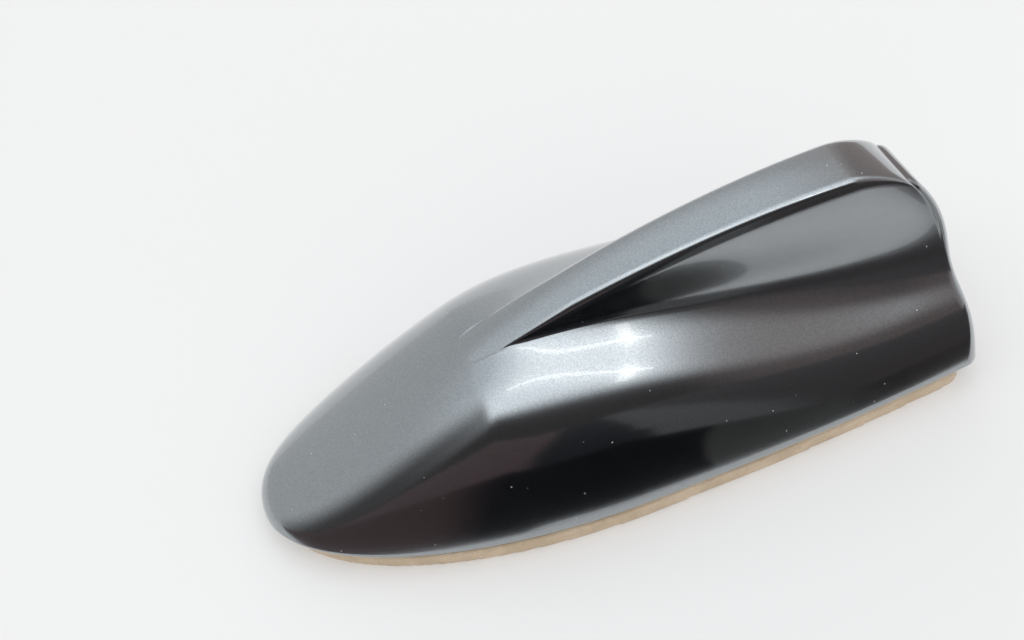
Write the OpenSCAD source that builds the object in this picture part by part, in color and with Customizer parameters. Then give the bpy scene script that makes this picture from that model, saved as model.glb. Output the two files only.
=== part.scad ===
// Shark-fin roof antenna: a painted hollow cover on a sealed base, with the
// satellite patch under the nose and an upright aerial board in the fin.
// Every outline, skin and inner piece is worked out from the same cover
// functions, so they stay fitted when a size changes.
// Frame: X runs from nose to tail, Z is up, and the origin lies on the roof
// bolt's axis at the underside of the seal pad.

/* [Cover] */
// Overall length of the painted cover
cover_l = 168; // [150:1:190]
// Greatest width of the cover, at its rim
cover_w = 66; // [58:1:76]
// Height from the rim to the crest of the fin
cover_h = 50.5; // [44:1:60]
// Wall thickness of the cover
cover_wall = 2.4; // [1.8:0.1:2.8]
// Radius of the rim's rounded lower edge
rim_r = 1.3; // [0.6:0.1:1.6]
// Height of the blunt lip at the very nose
nose_lip = 4; // [3.4:0.1:6]

/* [Cover plan] */
// Place of the greatest width, as a share of the length
wide_at = 0.5; // [0.4:0.01:0.6]
// Fullness of the nose in plan
nose_full = 1.94; // [1.6:0.02:2.2]
// Bluntness of the nose tip in plan
nose_blunt = 2.1; // [1.8:0.05:2.4]
// Share of the width lost again at the tail
tail_narrow = 0.105; // [0:0.01:0.2]

/* [Fin] */
// Place where the side scoops start, as a share of the length
scoop_at = 0.33; // [0.3:0.005:0.4]
// Length over which the scoops deepen, as a share of the length
scoop_run = 0.6; // [0.4:0.01:0.7]
// Half width of the top band where the scoops start
band_front = 2.6; // [2.4:0.1:4]
// Half width of the top band at the tail
band_rear = 6.9; // [6:0.1:9]
// Crown of the top band over its edges
band_crown = 0.95; // [0.6:0.05:1.5]
// Radius of the band's edges
band_edge_r = 1.8; // [0.8:0.1:2.2]
// Height of the scoop's floor line where it starts
floor_front = 26; // [23:0.2:28]
// Height of the scoop's floor line at the tail
floor_rear = 22.5; // [20:0.5:26]
// Extra height of the floor line half way along
floor_bulge = 4.5; // [0:0.5:5]
// Width that the scoop's floor adds to the band at the tail
floor_spread = 5.8; // [4:0.1:8]

/* [Tail] */
// Radius of the upright tail corners
tail_r = 4.5; // [3:0.1:7]
// Radius of the tail edge at the crest
tail_edge_r = 1.4; // [0.8:0.1:2]
// How far the fin's tail rakes forward from waist to crest
tail_rake = 16.6; // [8:0.1:18]
// How far the tail leans forward below its waist
tail_lean = 2; // [0:0.1:4]
// How far the tail face bows out at the centre
tail_bow = 1.6; // [0:0.1:4]
// Length of the crest's rounded end
crest_round = 15; // [10:0.5:20]
// Drop of the crest over its rounded end
crest_drop = 6; // [3:0.5:9]

/* [Seal pad] */
// Height of the seal pad's border
pad_t = 4.6; // [4:0.1:7]
// Thickness of the pad's web under the base plate
pad_web = 3; // [1.5:0.1:3.4]
// Width of the pad's raised border
pad_border = 2.3; // [1.8:0.1:3]
// Set-back of the pad from the rim at the nose
pad_nose_in = 2.6; // [2:0.1:5]
// Set-back of the pad from the rim at the tail
pad_tail_in = 3.6; // [3:0.1:6]
// Set-back of the pad's top edge along the sides
pad_side_in = 0.6; // [0.2:0.1:1.2]
// Flare of the pad's foot beyond its top edge
pad_flare = 0.6; // [0:0.1:1]
// Width of the pad's softened edges
pad_edge = 0.4; // [0.2:0.1:0.6]

/* [Base plate] */
// Thickness of the flange between the pad and the cover
flange_t = 1; // [0.8:0.1:2]
// Set-back of the flange from the rim
flange_in = 1.1; // [0.8:0.1:1.5]
// Thickness of the gasket between the flange and the rim
gasket_t = 0.6; // [0.4:0.1:1]
// Height of the skirt that locates the cover
skirt_h = 5; // [3:0.1:5.4]
// Thickness of the skirt
skirt_t = 2; // [1.6:0.1:2.4]
// Clearance between the skirt and the cover's inside
skirt_gap = 0.3; // [0.2:0.05:0.5]
// Height of the seats under the cover's screw bosses
seat_h = 2; // [1.6:0.1:3]
// Thickness of the base plate's ribs
rib_t = 1.4; // [1:0.1:2]
// Height of the two long ribs at the rear
rib_h = 2; // [1:0.1:3]
// Clearance between parts that slip together
slip = 0.15; // [0.1:0.05:0.25]

/* [Roof mounting] */
// Distance from the nose to the roof bolt's axis
bolt_x = 88; // [84:1:90]
// Radius of the bolt's thread bore, as tapped for M6
bolt_bore_r = 2.5; // [2:0.05:3.3]
// Length of the threaded bore
bolt_bore_l = 12; // [10:0.5:13]
// Radius of the brass insert
insert_r = 5; // [4.6:0.1:6]
// Thickness of the insert's closed end
insert_cap = 1.5; // [1:0.1:3]
// Radius of the neck over the roof hole
neck_r = 8.5; // [8:0.1:10]
// Width of the keys that stop the neck from turning
key_w = 3; // [2:0.1:4]
// How far the keys stand out of the neck
key_out = 1.5; // [1:0.1:2]

/* [Cable and vent] */
// Distance from the bolt's axis to the cable's axis
bolt_to_cable = 19; // [17:0.5:21]
// Radius of the cable's bore in the grommet
cable_r = 1.8; // [1.3:0.1:2.4]
// Radius of the grommet's body
grommet_r = 4.2; // [3.6:0.1:5]
// Width of the grommet's lips beyond its body
grommet_lip = 1.2; // [0.8:0.1:1.6]
// Distance from the cable's axis to the vent's axis
cable_to_vent = 16; // [14:0.5:18]
// Radius of the vent hole
vent_r = 2; // [1.5:0.1:2.5]
// Width of the membrane's glued border
vent_border = 1.5; // [1:0.1:2]
// Thickness of the vent membrane
vent_t = 0.3; // [0.2:0.05:0.5]

/* [Fasteners] */
// Radius of a cover screw's shank
screw_r = 1.45; // [1.2:0.05:1.6]
// Radius of a cover screw's head
screw_head_r = 2.9; // [2.5:0.1:3.2]
// Height of a cover screw's head
screw_head_h = 2; // [1.6:0.1:2.2]
// Length of a cover screw's shank
screw_l = 10; // [8:0.5:11]
// Radius of the cover's screw bosses
boss_r = 3.3; // [3:0.1:3.6]
// Thickness of the ribs that tie the bosses to the cover's wall
boss_rib_t = 1.6; // [1.2:0.1:2]
// Distance from the nose to the front screw
front_screw = 24; // [22:0.5:26]
// Distance from the nose to the middle pair of screws
middle_screw = 62; // [58:0.5:66]
// Distance from the tail to the rear pair of screws
rear_screw = 30; // [27:0.5:33]
// Radius of a board screw's shank
board_screw_r = 1.1; // [0.9:0.05:1.2]
// Length of a board screw's shank
board_screw_l = 4.4; // [3.6:0.1:5.6]

/* [Boards] */
// Thickness of both circuit boards
board_t = 1.6; // [1:0.1:2]
// Height of the main board over the deck
board_lift = 5; // [4.4:0.1:6]
// Clearance round the main board
board_gap = 0.8; // [0.5:0.1:1.5]
// Distance from the nose to the main board's front edge
board_front = 30; // [29:0.5:34]
// Distance from the tail to the main board's rear edge
board_rear = 22; // [20:0.5:26]
// Radius of the posts under the main board
post_r = 2.8; // [2.4:0.1:3.2]
// Distance from the main board's front edge to its front screws
front_post_in = 5; // [4:0.5:6]
// Half the spacing of the front board screws
front_post_y = 13; // [12:0.5:14]
// Distance from the main board's rear edge to its rear screws
rear_post_in = 4; // [3.5:0.5:6]
// Half the spacing of the rear board screws
rear_post_y = 10; // [8:0.5:12]

/* [Satellite patch] */
// Side of the square ceramic patch
patch_w = 25; // [18:0.5:26]
// Thickness of the ceramic patch
patch_t = 4; // [2:0.5:6]
// Distance from the nose to the patch's front edge
patch_front = 41; // [40:0.5:43]
// Thickness of the tape under the patch
tape_t = 0.6; // [0.4:0.1:1]
// Thickness of the patch's silver electrode
electrode_t = 0.25; // [0.2:0.05:0.4]
// Set-back of the electrode from the patch's edge
electrode_in = 2.5; // [1.5:0.1:4]
// Radius of the feed pin
pin_r = 0.5; // [0.4:0.05:0.7]
// Distance from the patch's centre to the feed pin
feed_off = 2; // [1:0.1:3]
// Length of the shield can under the board
can_l = 22; // [18:0.5:24]
// Width of the shield can
can_w = 17; // [12:0.5:20]
// Height of the shield can
can_h = 3; // [2.2:0.1:4]
// Wall of the shield can
can_wall = 0.3; // [0.2:0.05:0.4]

/* [Fin aerial] */
// Distance from the bolt's axis to the fin board's front edge
fin_from_bolt = 12; // [11:0.5:16]
// Clearance between the fin board and the cover's crest
fin_gap = 1.2; // [0.8:0.1:2]
// Width of the aerial's copper track
track_w = 1.2; // [0.8:0.1:1.6]
// Thickness of the track
track_t = 0.3; // [0.1:0.05:0.4]
// Distance between the track's turns
track_pitch = 3.4; // [2.4:0.1:3.6]
// Number of the track's turns
track_turns = 6; // [3:1:6]
// Length of the foam block beside the fin board
foam_l = 14; // [10:0.5:18]
// Height of the foam block
foam_h = 9; // [6:0.5:11]

/* [Hidden] */
$fn = 48;

// Shape shares of the cover's curves, fitted by eye to the real form
crest_peak = 0.938;
crest_rise = 2.54;
crest_swell = 0.75;
tumblehome = 0.21;
dome_shoulder = 0.68;
dome_flat = 0.58;
dome_band = 0.38;
band_power = 0.32;
scoop_ease = 2;
scoop_soft = 0.01;
edge_haste = 8;
floor_step = 1.1;
floor_tilt = [26, 56];
flank_tilt = 7;
shoulder_up = 0.81;
shoulder_in = 0.6;
floor_curl = 0.66;
flank_curl = 0.33;
rake_power = 1.95;
tail_starts = 0.55;
tail_corner_end = 0.7;
lip_run = 0.03;
dome_cuts = [1.12, 1.02, 0.8];
crown_at = [0.33, 0.66];
crown_full = 0.75;
edge_shares = [0.4, 0.35];
band_least = 0.6;
band_edge_least = 0.8;
least_rise = 0.1;
foot_share = 0.3;

// Mesh density of the cover's skins
stations = 44;
end_bias = 0.65;
dome_samples = 40;
wall_steps = 10;
flank_steps = 6;
edge_steps = 2;
crown_steps = 3;
rim_angles = [0, 30, 60];
corner_angles = [22.5, 45, 67.5, 90];
face_shares = [0.66, 0.33];

// Levels, from the roof up
flange_z = pad_t + flange_t;
rim_z = flange_z + gasket_t;
deck_z = rim_z - slip;
seat_z = deck_z + seat_h;
skirt_z = deck_z + skirt_h;
board_z = deck_z + board_lift;
board_top = board_z + board_t;

// Insets from the cover's outer rim
skirt_in = cover_wall + skirt_gap;
skirt_inner = skirt_in + skirt_t;

// Places along the cover, from its nose
skin_l = cover_l - tail_r;
cable_x = bolt_x + bolt_to_cable;
vent_x = cable_x + cable_to_vent;
board_end = cover_l - board_rear;

// Clamps a value between two limits
function clip(v, low = 0, high = 1) = max(low, min(high, v));

// Eases from 0 to 1
function smooth(t) = let (c = clip(t)) c * c * (3 - 2 * c);

// Point at share t between a and b
function mix(a, b, t) = a * (1 - t) + b * t;

// Blossom of a cubic curve: its point for t = u = v = w, or a control point
function blossom(p, u, v, w) =
    let (
        a = [for (i = [0:2]) mix(p[i], p[i + 1], u)],
        b = [for (i = [0:1]) mix(a[i], a[i + 1], v)]
    )
    mix(b[0], b[1], w);

// Point of a cubic curve at t
function on_cubic(p, t) = blossom(p, t, t, t);

// Control points of the stretch of a cubic between a and b
function stretch(p, a, b) =
    [blossom(p, a, a, a), blossom(p, a, a, b), blossom(p, a, b, b), blossom(p, b, b, b)];

// Station i of the cover as a share of its length, closer together at both ends
function station(i) =
    let (u = i / stations)
    max(0.0001, (1 - end_bias) * u + end_bias * (1 - cos(180 * u)) / 2);

// Half width of the rim at share s, inset by d
function rim_half(s, d = 0) =
    let (t = min(s / wide_at, 1), u = max(s - wide_at, 0) / (1 - wide_at))
    (cover_w / 2 - d) * pow(1 - pow(1 - t, nose_full), 1 / nose_blunt) * (1 - tail_narrow * u * u);

// Height of the crest over the rim at share s, inset by d
function crest(s, d = 0) =
    let (
        lip = 1 - pow(1 - clip(s / lip_run), 2),
        rise = 1 - pow(1 - clip(s / crest_peak), crest_rise),
        ending = clip((s - 1) * skin_l / crest_round + 1)
    )
    max(nose_lip - d, 0.2) * sqrt(lip) + (cover_h - nose_lip) * pow(rise, 1 / crest_swell)
    - crest_drop * (1 - sqrt(1 - ending * ending));

// How far the tail stands forward of the square end, at height z and side y
function tail_set(y, z) =
    tail_lean * smooth(z / floor_rear)
    + tail_rake * pow(clip((z - floor_rear) / (cover_h - floor_rear)), rake_power)
    + tail_bow * pow(2 * y / cover_w, 2);

// Distance from the nose of a skin point at share s
function skin_x(s, y, z, d) =
    d + s * (skin_l - 2 * d) - tail_set(y, z) * pow(clip((s - tail_starts) / (1 - tail_starts)), 2);

// Half width of the fin's top band at share s, inset by d
function band_half(s, d) =
    let (g = clip((s - scoop_at) / (1 - scoop_at)))
    max(band_front + (band_rear - band_front) * pow(g, band_power) - d, band_least);

// Cross-section at share s, inset by d, as [y, z] points from the foot to the crest
function section(s, d, foot) =
    let (
        yr = rim_half(s, d),
        zc = max(crest(s, d), foot + least_rise),
        g = clip((s - scoop_at) / (1 - scoop_at)),
        w = band_half(s, d),
        wn = min(w, dome_band * yr),
        dome = [
            [yr, foot], [yr * (1 - tumblehome), max(dome_shoulder * zc, foot)],
            [dome_flat * yr, zc], [0, zc]
        ],
        table = [for (k = [0:1 / dome_samples:1]) [-on_cubic(dome, k)[0], k]],
        cuts = [for (c = dome_cuts) lookup(-c * wn, table)],
        tilt = mix(floor_tilt[0], floor_tilt[1], g),
        inward = [-cos(tilt), sin(tilt)],
        upward = [-sin(flank_tilt), cos(flank_tilt)],
        ze = zc - band_crown,
        drop = d * (1 - sin(tilt)) / cos(tilt),
        low_z = min(mix(floor_front, floor_rear, g) + floor_bulge * g * (1 - g) - drop, ze - band_edge_least),
        t = clip((s - scoop_at) / scoop_run),
        eased = (sqrt(t * t + scoop_soft * scoop_soft) - scoop_soft)
              / (sqrt(1 + scoop_soft * scoop_soft) - scoop_soft),
        m = 1 - pow(1 - eased, scoop_ease),
        sharp = 1 - pow(1 - eased, scoop_ease * edge_haste),
        valley = mix(on_cubic(dome, cuts[0]), [w + mix(floor_step, floor_spread, g), low_z], m),
        yv = valley[0],
        zv = valley[1],
        fall = max(ze - zv, 0),
        edge = [w, ze],
        over = [crown_at[1] * w, ze + crown_full * band_crown],
        r = min(band_edge_r, edge_shares[0] * w, edge_shares[1] * fall),
        under_edge = edge - r * upward,
        past_edge = edge + r * (over - edge) / norm(over - edge),
        fin = [
            [[yr, foot], [yr * (1 - tumblehome), max(shoulder_up * zv, foot)],
             valley - shoulder_in * (yr - yv) * inward, valley],
            [valley, valley + floor_curl * (yv - w) * inward,
             under_edge - flank_curl * fall * upward, under_edge],
            [under_edge, mix(under_edge, edge, 2 / 3), mix(past_edge, edge, 2 / 3), past_edge],
            [past_edge, over, [crown_at[0] * w, zc], [0, zc]]
        ],
        ends = [0, cuts[0], cuts[1], cuts[2], 1],
        plain = [for (k = [0:3]) stretch(dome, ends[k], ends[k + 1])],
        pieces = mix(plain, fin, sharp),
        steps = [wall_steps, flank_steps, edge_steps, crown_steps]
    )
    concat(
        [pieces[0][0]],
        [for (k = [0:3]) for (j = [1:steps[k]]) on_cubic(pieces[k], j / steps[k])]
    );

// Columns of half a section: [y, z, inset], with the rounded lower edge when rounded
function columns(s, d, rounded) =
    let (foot = rounded ? min(rim_r, foot_share * (crest(s, d) + least_rise)) : 0)
    concat(
        rounded ? [for (a = rim_angles)
            let (e = d + rim_r * (1 - sin(a))) [rim_half(s, e), foot * (1 - cos(a)), e]] : [],
        [for (p = section(s, d, foot)) [p[0], p[1], d]]
    );

// Rounding radius of the tail edge at column j of a half section
function corner_r(j, first) =
    let (v = first + wall_steps, e = v + flank_steps)
    j <= v ? mix(tail_r, tail_corner_end * tail_r, j / v)
    : j <= e ? mix(tail_corner_end * tail_r, tail_edge_r, (j - v) / flank_steps) : tail_edge_r;

// Outward direction of column j of a half section c
function outward(c, j, first) =
    j <= first ? [1, 0]
    : j == len(c) - 1 ? [0, 1]
    : let (t = c[j + 1] - c[j - 1], n = [t[1], -t[0]]) n / norm(n);

// One ring of a skin: a station, a step round the tail's edge, or a step across its face
function half_ring(c, s) = [for (p = c) [skin_x(s, p[0], p[1], p[2]), p[0], p[1]]];

function corner_ring(c, a, share, first) = [
    for (j = [0:len(c) - 1])
        let (
            r = corner_r(j, first),
            n = outward(c, j, first),
            y = share * max(c[j][0] - n[0] * r * (1 - cos(a)), 0),
            z = c[j][1] - n[1] * r * (1 - cos(a))
        )
        [skin_x(1, y, z, c[j][2]) + r * sin(a), y, z]
];

// Mirrors a half ring across the centre plane, from the -Y foot to the +Y foot
function whole(h) = concat(
    [for (p = h) [p[0], -p[1], p[2]]],
    [for (j = [len(h) - 2:-1:0]) h[j]]
);

// All rings of a skin, inset by d
function skin(d, rounded) =
    let (first = rounded ? len(rim_angles) : 0, last = columns(1, d, rounded))
    concat(
        [for (i = [0:stations]) whole(half_ring(columns(station(i), d, rounded), station(i)))],
        [for (a = corner_angles) whole(corner_ring(last, a, 1, first))],
        [for (f = face_shares) whole(corner_ring(last, 90, f, first))]
    );

// Closing strip over the first or last ring, whose columns are c wide
function strip(c, start, flip) = [
    for (j = [0:(c - 3) / 2])
        let (
            a = start + j,
            b = start + j + 1,
            e = start + c - 2 - j,
            f = start + c - 1 - j,
            q = b == e ? [a, b, f] : [a, b, e, f]
        )
        flip ? [for (k = [len(q) - 1:-1:0]) q[k]] : q
];

// Faces of a grid of n rings with c columns each, in triangles
function grid(n, c, start, flip) = [
    for (i = [0:n - 2]) for (j = [0:c - 2]) for (k = [0, 1])
        let (
            a = start + i * c + j,
            q = k == 0 ? [a, a + 1, a + c + 1] : [a, a + c + 1, a + c]
        )
        flip ? [q[2], q[1], q[0]] : q
];

// The hollow shell: outer and inner skins joined by the rim's flat land
module cover_shell() {
    outer = skin(0, true);
    inner = skin(cover_wall, false);
    n = len(outer);
    c = len(outer[0]);
    e = len(inner[0]);
    s = n * c;
    land = [for (i = [0:n - 2]) for (k = [0, 1])
        let (
            a = i * c + (k == 0 ? 0 : c - 1),
            b = s + i * e + (k == 0 ? 0 : e - 1),
            q = [a, a + c, b + e, b]
        )
        k == 0 ? q : [q[3], q[2], q[1], q[0]]];
    tips = [
        [0, s, s + e - 1, c - 1],
        [(n - 1) * c + c - 1, s + (n - 1) * e + e - 1, s + (n - 1) * e, (n - 1) * c]
    ];
    polyhedron(
        concat([for (r = outer) for (p = r) p], [for (r = inner) for (p = r) p]),
        concat(
            grid(n, c, 0, false), strip(c, 0, true), strip(c, (n - 1) * c, false),
            grid(n, e, s, true), strip(e, s, false), strip(e, s + (n - 1) * e, true),
            land, tips
        ),
        convexity = 10
    );
}

// Half width of the skin at share s and height z over the rim, inset by d
function half_at(s, d, z) =
    z <= 0 ? rim_half(s, d) : lookup(z, [for (p = section(s, d, 0)) [p[1], p[0]]]);

// Half of a plan outline along the -Y side, inset by d from the skin at height z over the rim
function half_line(d, z) = concat(
    [for (i = [0:stations])
        let (s = station(i))
        if (z <= 0 || crest(s, d) > z + least_rise)
        let (y = half_at(s, d, z))
        [skin_x(s, y, z, d), -y]],
    [for (k = [1:len(corner_angles) + len(face_shares)])
        let (
            corner = k <= len(corner_angles),
            a = corner ? corner_angles[k - 1] : 90,
            share = corner ? 1 : face_shares[k - 1 - len(corner_angles)],
            y = share * (half_at(1, d, z) - tail_r * (1 - cos(a)))
        )
        [skin_x(1, y, z, d) + tail_r * sin(a), -y]]
);

// Closed plan outline, inset by d from the skin at height z over the rim
function outline(d, z = 0) =
    let (h = half_line(d, z))
    concat(h, [for (i = [len(h) - 1:-1:0]) [h[i][0], -h[i][1]]]);

// Outline of the seal pad, inset by d from its top edge
function pad_outline(d) =
    let (side = pad_side_in + d, k = (cover_l - pad_nose_in - pad_tail_in - 2 * d) / (cover_l - 2 * side))
    [for (p = outline(side)) [pad_nose_in + d + (p[0] - side) * k, p[1]]];

// Outline of the skirt, which clears the cover up to the skirt's top, inset by d
function skirt_outline(d) = outline(skirt_in + d, skirt_z - rim_z);

// Share of the length at distance x from the nose, inset by d
function share_at(x, d = 0) = (x - d) / (skin_l - 2 * d);

// Side place of a cover screw at distance x from the nose, clear of the skirt
function screw_side(x) =
    half_at(share_at(x, skirt_inner), skirt_inner, skirt_z - rim_z) - boss_r - 2 * slip;

// Places of the cover screws, from the nose
middle_side = screw_side(middle_screw);
rear_side = screw_side(cover_l - rear_screw);
screw_spots = [
    [front_screw, 0],
    [middle_screw, middle_side], [middle_screw, -middle_side],
    [cover_l - rear_screw, rear_side], [cover_l - rear_screw, -rear_side]
];

// Levels of a cover screw and its boss
head_sink = 0.6;
counterbore_z = pad_web + screw_head_h + head_sink;
screw_top = counterbore_z + screw_l;
tip_gap = 0.6;
boss_cap = 1.2;
boss_top = screw_top + tip_gap + boss_cap;
boss_rib_gap = 0.4;
boss_rib_z = skirt_z + boss_rib_gap;

// Access room round heads and collars in the seal pad
access = 0.8;

// How far a cutting tool runs past a face
cut = 1;

// Levels of the neck and its insert
insert_top = bolt_bore_l + insert_cap;
knurl_pitch = 4;
knurl_w = 1;
knurl_d = 0.5;

// Gussets round the neck and ribs at the rear
gusset_l = 7;
gusset_gap = 0.6;
rib_y = 9;
rib_from_vent = 4;

// Places of the board's fixings, from the nose
board_spots = [
    for (y = [-front_post_y, front_post_y]) [board_front + front_post_in, y],
    for (y = [-rear_post_y, rear_post_y]) [board_end - rear_post_in, y]
];
board_head_h = 1.3;
drive_depth = 0.8;

// Grommet's neck and lips
grommet_low = 1.4;
grommet_high = 1.4;
grommet_taper = 0.4;

// Folded strap from the insert's top down to the board
strap_t = 0.4;
strap_w = 4;
strap_gap = 1.8;
strap_out = neck_r + strap_gap;
strap_foot = 1.8;

// Satellite patch and the parts on both sides of the board under it
patch_x = patch_front + patch_w / 2;
feed_x = patch_x + feed_off;
tape_in = 1;
tape_top = board_top + tape_t;
patch_top = tape_top + patch_t;
electrode_w = patch_w - 2 * electrode_in;
trim_w = 2.8;
solder_r = 1.3;
solder_sink = 0.6;
pin_tail = 0.8;
chip_w = 3;
chip_h = 0.9;
chip_off = 4.5;
part_l = 1.6;
part_w = 0.8;
part_h = 0.7;
part_pitch = 4;
parts_in_row = 5;
parts_y = 15;

// Coaxial socket behind the grommet, under the board and beside its centre line
cable_to_socket = 9;
socket_y = 6;
socket_w = 4;
socket_h = 0.6;
barrel_r = 1.6;
barrel_h = 2.2;
barrel_wall = 0.5;

// Upright board in the fin, with its tabs, track, clips and foam
fin_to_end = 4;
track_front_in = 4;
track_rear_in = 7;
track_up = 5;
foam_in = 10;
fin_from = bolt_x + fin_from_bolt;
fin_to = board_end - fin_to_end;
fin_crest_end = 0.88;
fin_corner = 1;
tab_l = 5;
tab_in = 8;
tab_spots = [fin_from + tab_in, fin_to - tab_in];
tab_proud = 0.4;
track_from = fin_from + track_front_in;
track_to = fin_to - track_rear_in;
track_z = board_top + track_up;
clip_w = 4;
clip_h = 4;
clip_foot = 3;
clip_t = 0.4;
foam_x = fin_from + foam_in;
foam_drop = 2;

// Moves children from nose coordinates into the part's frame
module from_nose() translate([-bolt_x, 0, 0]) children();

// A prism over a closed outline between two levels
module prism(line, low, high) translate([0, 0, low]) linear_extrude(high - low) polygon(line);

// An upright cylinder at a spot [x, y] between two levels
module post(spot, r, low, high) translate([spot[0], spot[1], low]) cylinder(r = r, h = high - low);

// A box between two corners
module block(low, high) translate(low) cube(high - low);

// A solid stacked from closed outlines, each at its own level
module loft(lines, levels) {
    n = len(lines);
    c = len(lines[0]);
    polyhedron(
        [for (k = [0:n - 1]) for (p = lines[k]) [p[0], p[1], levels[k]]],
        concat(
            [[for (i = [0:c - 1]) i]],
            [[for (i = [c - 1:-1:0]) (n - 1) * c + i]],
            [for (k = [0:n - 2]) for (i = [0:c - 1]) for (h = [0, 1])
                let (a = k * c + i, b = k * c + (i + 1) % c)
                h == 0 ? [a, a + c, b + c] : [a, b + c, b]]
        ),
        convexity = 4
    );
}

// Rib across the cover from a side boss out to the middle of the wall
module side_rib(spot) {
    d = cover_wall / 2;
    s = share_at(spot[0], d);
    skin_line = [for (p = section(s, d, 0)) if (p[0] > abs(spot[1]) && p[1] + rim_z > boss_rib_z) p];
    line = concat(
        [[abs(spot[1]), boss_rib_z - rim_z], [skin_line[0][0], boss_rib_z - rim_z]],
        skin_line,
        [[abs(spot[1]), skin_line[len(skin_line) - 1][1]]]
    );
    translate([spot[0] - boss_rib_t / 2, 0, rim_z])
        scale([1, sign(spot[1]), 1])
            rotate([90, 0, 90])
                linear_extrude(boss_rib_t) polygon(line);
}

// Rib along the cover from the front boss to the nose
module nose_rib() {
    d = cover_wall / 2;
    shares = [for (i = [1:stations]) if (station(i) < share_at(front_screw)) station(i)];
    top_line = [for (s = shares)
        let (z = crest(s, d))
        if (z + rim_z > boss_rib_z) [skin_x(s, 0, z, d), z]];
    line = concat(
        [[front_screw, boss_rib_z - rim_z], [front_screw, top_line[len(top_line) - 1][1]]],
        [for (i = [len(top_line) - 1:-1:0]) top_line[i]],
        [[top_line[0][0], boss_rib_z - rim_z]]
    );
    translate([0, boss_rib_t / 2, rim_z]) rotate([90, 0, 0]) linear_extrude(boss_rib_t) polygon(line);
}

module cover() color([0.24, 0.26, 0.29]) from_nose()
    difference() {
        union() {
            translate([0, 0, rim_z]) cover_shell();
            for (p = screw_spots) post(p, boss_r, seat_z, boss_top);
            for (k = [1:4]) side_rib(screw_spots[k]);
            nose_rib();
        }
        for (p = screw_spots) post(p, screw_r, seat_z - cut, screw_top + tip_gap);
    }

module seal_pad() color([0.78, 0.7, 0.6]) from_nose()
    difference() {
        loft(
            [for (d = [pad_edge - pad_flare, -pad_flare, 0, pad_edge / 2]) pad_outline(d)],
            [0, pad_edge, pad_t - pad_edge, pad_t]
        );
        prism(pad_outline(pad_border), pad_web, pad_t + cut);
        post([bolt_x, 0], neck_r + key_out + access, -cut, pad_t);
        post([cable_x, 0], grommet_r + grommet_lip + access, -cut, pad_t);
        post([vent_x, 0], vent_r + access, -cut, pad_t);
        for (p = screw_spots) post(p, screw_head_r + access, -cut, pad_t);
    }

// Screw hole and counterbore through the base plate
module screw_hole(spot) {
    post(spot, screw_r + slip, pad_web - cut, seat_z + cut);
    post(spot, screw_head_r + slip, pad_web - cut, counterbore_z);
}

// Skirt that stands on the base plate inside the cover
module skirt() difference() {
    prism(skirt_outline(0), deck_z, skirt_z);
    prism(skirt_outline(skirt_t), deck_z - cut, skirt_z + cut);
}

// Neck with its two keys and its gussets
module neck() {
    post([bolt_x, 0], neck_r, 0, insert_top);
    block([bolt_x - key_w / 2, -neck_r - key_out, 0], [bolt_x + key_w / 2, neck_r + key_out, pad_web]);
    for (a = [45:90:315]) translate([bolt_x, 0, deck_z]) rotate(a)
        block([0, -rib_t / 2, 0], [neck_r + gusset_l, rib_t / 2, board_lift - gusset_gap]);
}

module base_plate() color([0.13, 0.13, 0.14]) from_nose()
    difference() {
        union() {
            prism(pad_outline(pad_border + slip), pad_web, pad_t);
            prism(outline(flange_in), pad_t, flange_z);
            prism(outline(skirt_in), flange_z, deck_z);
            skirt();
            neck();
            for (p = screw_spots) post(p, boss_r, deck_z, seat_z);
            for (y = [-rib_y, rib_y]) block(
                [vent_x + rib_from_vent, y - rib_t / 2, deck_z],
                [board_end, y + rib_t / 2, deck_z + rib_h]
            );
            for (p = board_spots) post(p, post_r, deck_z, board_z);
        }
        for (p = screw_spots) screw_hole(p);
        for (p = board_spots) post(p, board_screw_r, board_top - board_screw_l - tip_gap, board_z + cut);
        post([bolt_x, 0], insert_r, -cut, insert_top + cut);
        post([cable_x, 0], grommet_r, pad_web - cut, deck_z + cut);
        post([vent_x, 0], vent_r, pad_web - cut, deck_z + cut);
    }

module cover_gasket() color([0.05, 0.05, 0.05]) from_nose()
    difference() {
        prism(outline(flange_in), flange_z, rim_z);
        prism(outline(skirt_in - slip), flange_z - cut, rim_z + cut);
    }

module mount_insert() color([0.76, 0.62, 0.3]) from_nose()
    difference() {
        post([bolt_x, 0], insert_r, 0, insert_top);
        post([bolt_x, 0], bolt_bore_r, -cut, bolt_bore_l);
        for (z = [knurl_pitch, 2 * knurl_pitch]) difference() {
            post([bolt_x, 0], insert_r + cut, z, z + knurl_w);
            post([bolt_x, 0], insert_r - knurl_d, z - cut, z + knurl_w + cut);
        }
    }

module ground_strap() color([0.8, 0.72, 0.5]) from_nose() {
    y = strap_w / 2;
    top = insert_top + strap_t;
    translate([bolt_x, 0, 0]) union() {
        post([0, 0], insert_r - 2 * strap_t, insert_top, top);
        block([-strap_out, -y, insert_top], [0, y, top]);
        block([-strap_out - strap_t, -y, board_top], [-strap_out, y, top]);
        block([-strap_out - strap_foot, -y, board_top], [-strap_out, y, board_top + strap_t]);
    }
}

module cable_grommet() color([0.07, 0.07, 0.07]) from_nose()
    translate([cable_x, 0, 0]) rotate_extrude() polygon([
        [cable_r, pad_web - grommet_low], [grommet_r + grommet_lip, pad_web - grommet_low],
        [grommet_r + grommet_lip, pad_web], [grommet_r, pad_web], [grommet_r, deck_z],
        [grommet_r + grommet_lip, deck_z], [grommet_r + grommet_taper, deck_z + grommet_high],
        [cable_r, deck_z + grommet_high]
    ]);

module vent_membrane() color([0.9, 0.9, 0.88]) from_nose()
    post([vent_x, 0], vent_r + vent_border, deck_z, deck_z + vent_t);

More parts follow.
